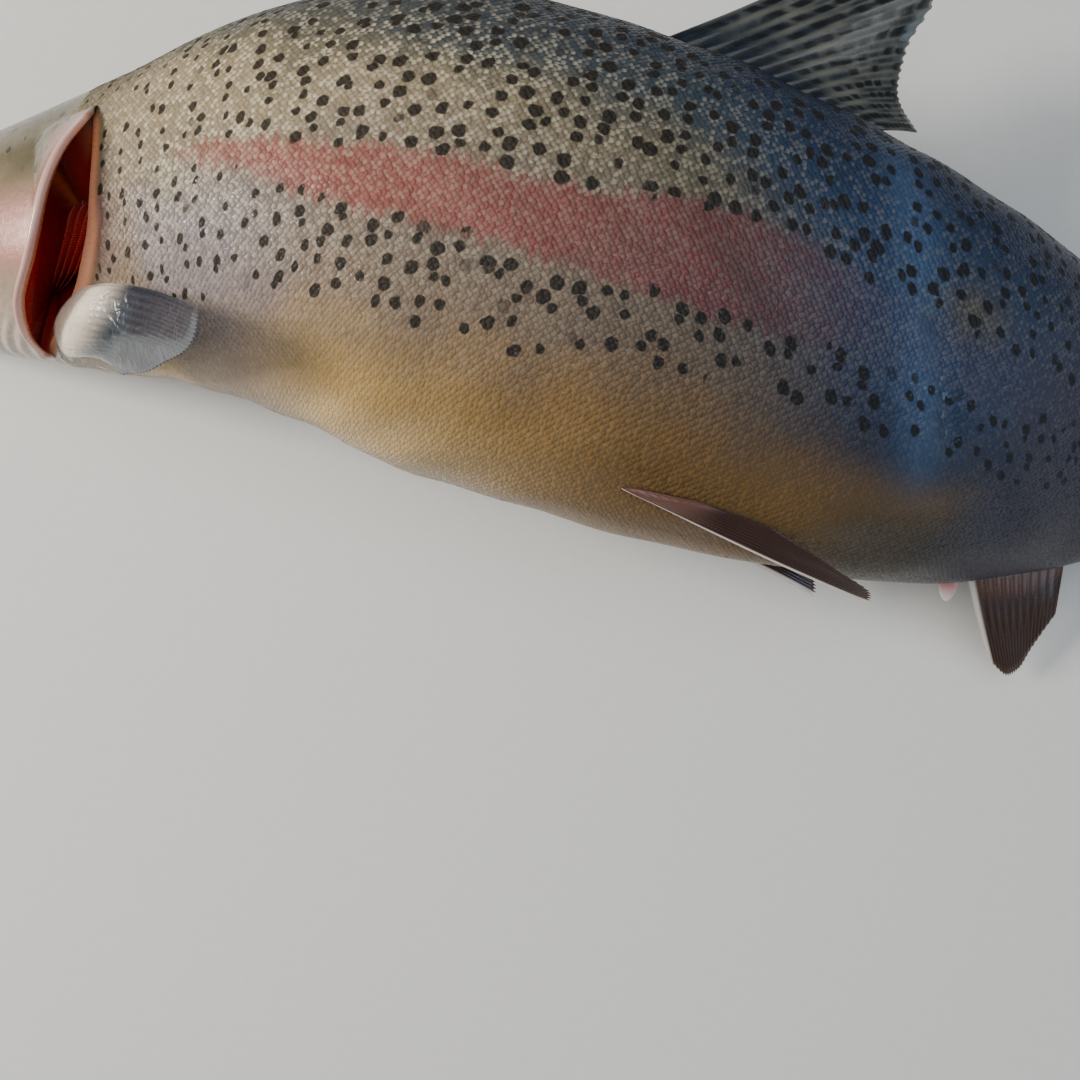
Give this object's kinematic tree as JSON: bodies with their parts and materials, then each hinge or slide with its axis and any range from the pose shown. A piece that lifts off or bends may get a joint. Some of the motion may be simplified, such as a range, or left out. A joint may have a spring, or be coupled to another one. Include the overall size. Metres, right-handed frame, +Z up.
{
  "type": "rainbow trout",
  "caption": "Life-size adult rainbow trout lying on its right side in a gentle arch, left gill cover standing open over red gills, dark spots and a pink stripe along the flank.",
  "frame": {"origin": "on the floor, under the middle of the bounding box", "axes": "+X from the head to the tail, +Y from the belly to the back, +Z up out of the fish's left flank"},
  "size_m": [0.5011, 0.1857, 0.0943],
  "materials": {
    "skin_head": "wet olive-brown skin with a bronze sheen",
    "skin_throat": "wet pale skin",
    "lip": "wet olive-brown skin over thin bone",
    "eye": "wet, clear and dark",
    "gill_cover": "wet skin over thin bone, pink at the edge",
    "gill": "wet deep red filaments",
    "skin_trunk": "wet scales, olive above, pink stripe, golden below, black spots",
    "skin_tail": "wet scales, blue-grey with black spots",
    "fin_dark": "wet grey-olive membrane on bony rays",
    "fin_brown": "wet red-brown membrane on bony rays",
    "fin_pale": "wet slate-grey membrane on bony rays"
  },
  "bodies": {
    "root": {"head": "skin_head", "lower_jaw": "skin_throat", "upper_lip_left": "lip", "upper_lip_right": "lip", "eye_left": "eye", "eye_right": "eye", "gill_cover_left": "gill_cover", "gill_cover_right": "gill_cover", "gills_left": "gill", "trunk_front": "skin_trunk", "trunk_middle": "skin_trunk", "trunk_rear": "skin_trunk", "tail_stalk": "skin_tail", "dorsal_fin": "fin_dark", "adipose_fin": "fin_dark", "caudal_fin": "fin_dark", "anal_fin": "fin_brown", "pelvic_fin_left": "fin_brown", "pelvic_fin_right": "fin_brown", "pectoral_fin_left": "fin_pale", "pectoral_fin_right": "fin_pale"}
  },
  "joints": []
}
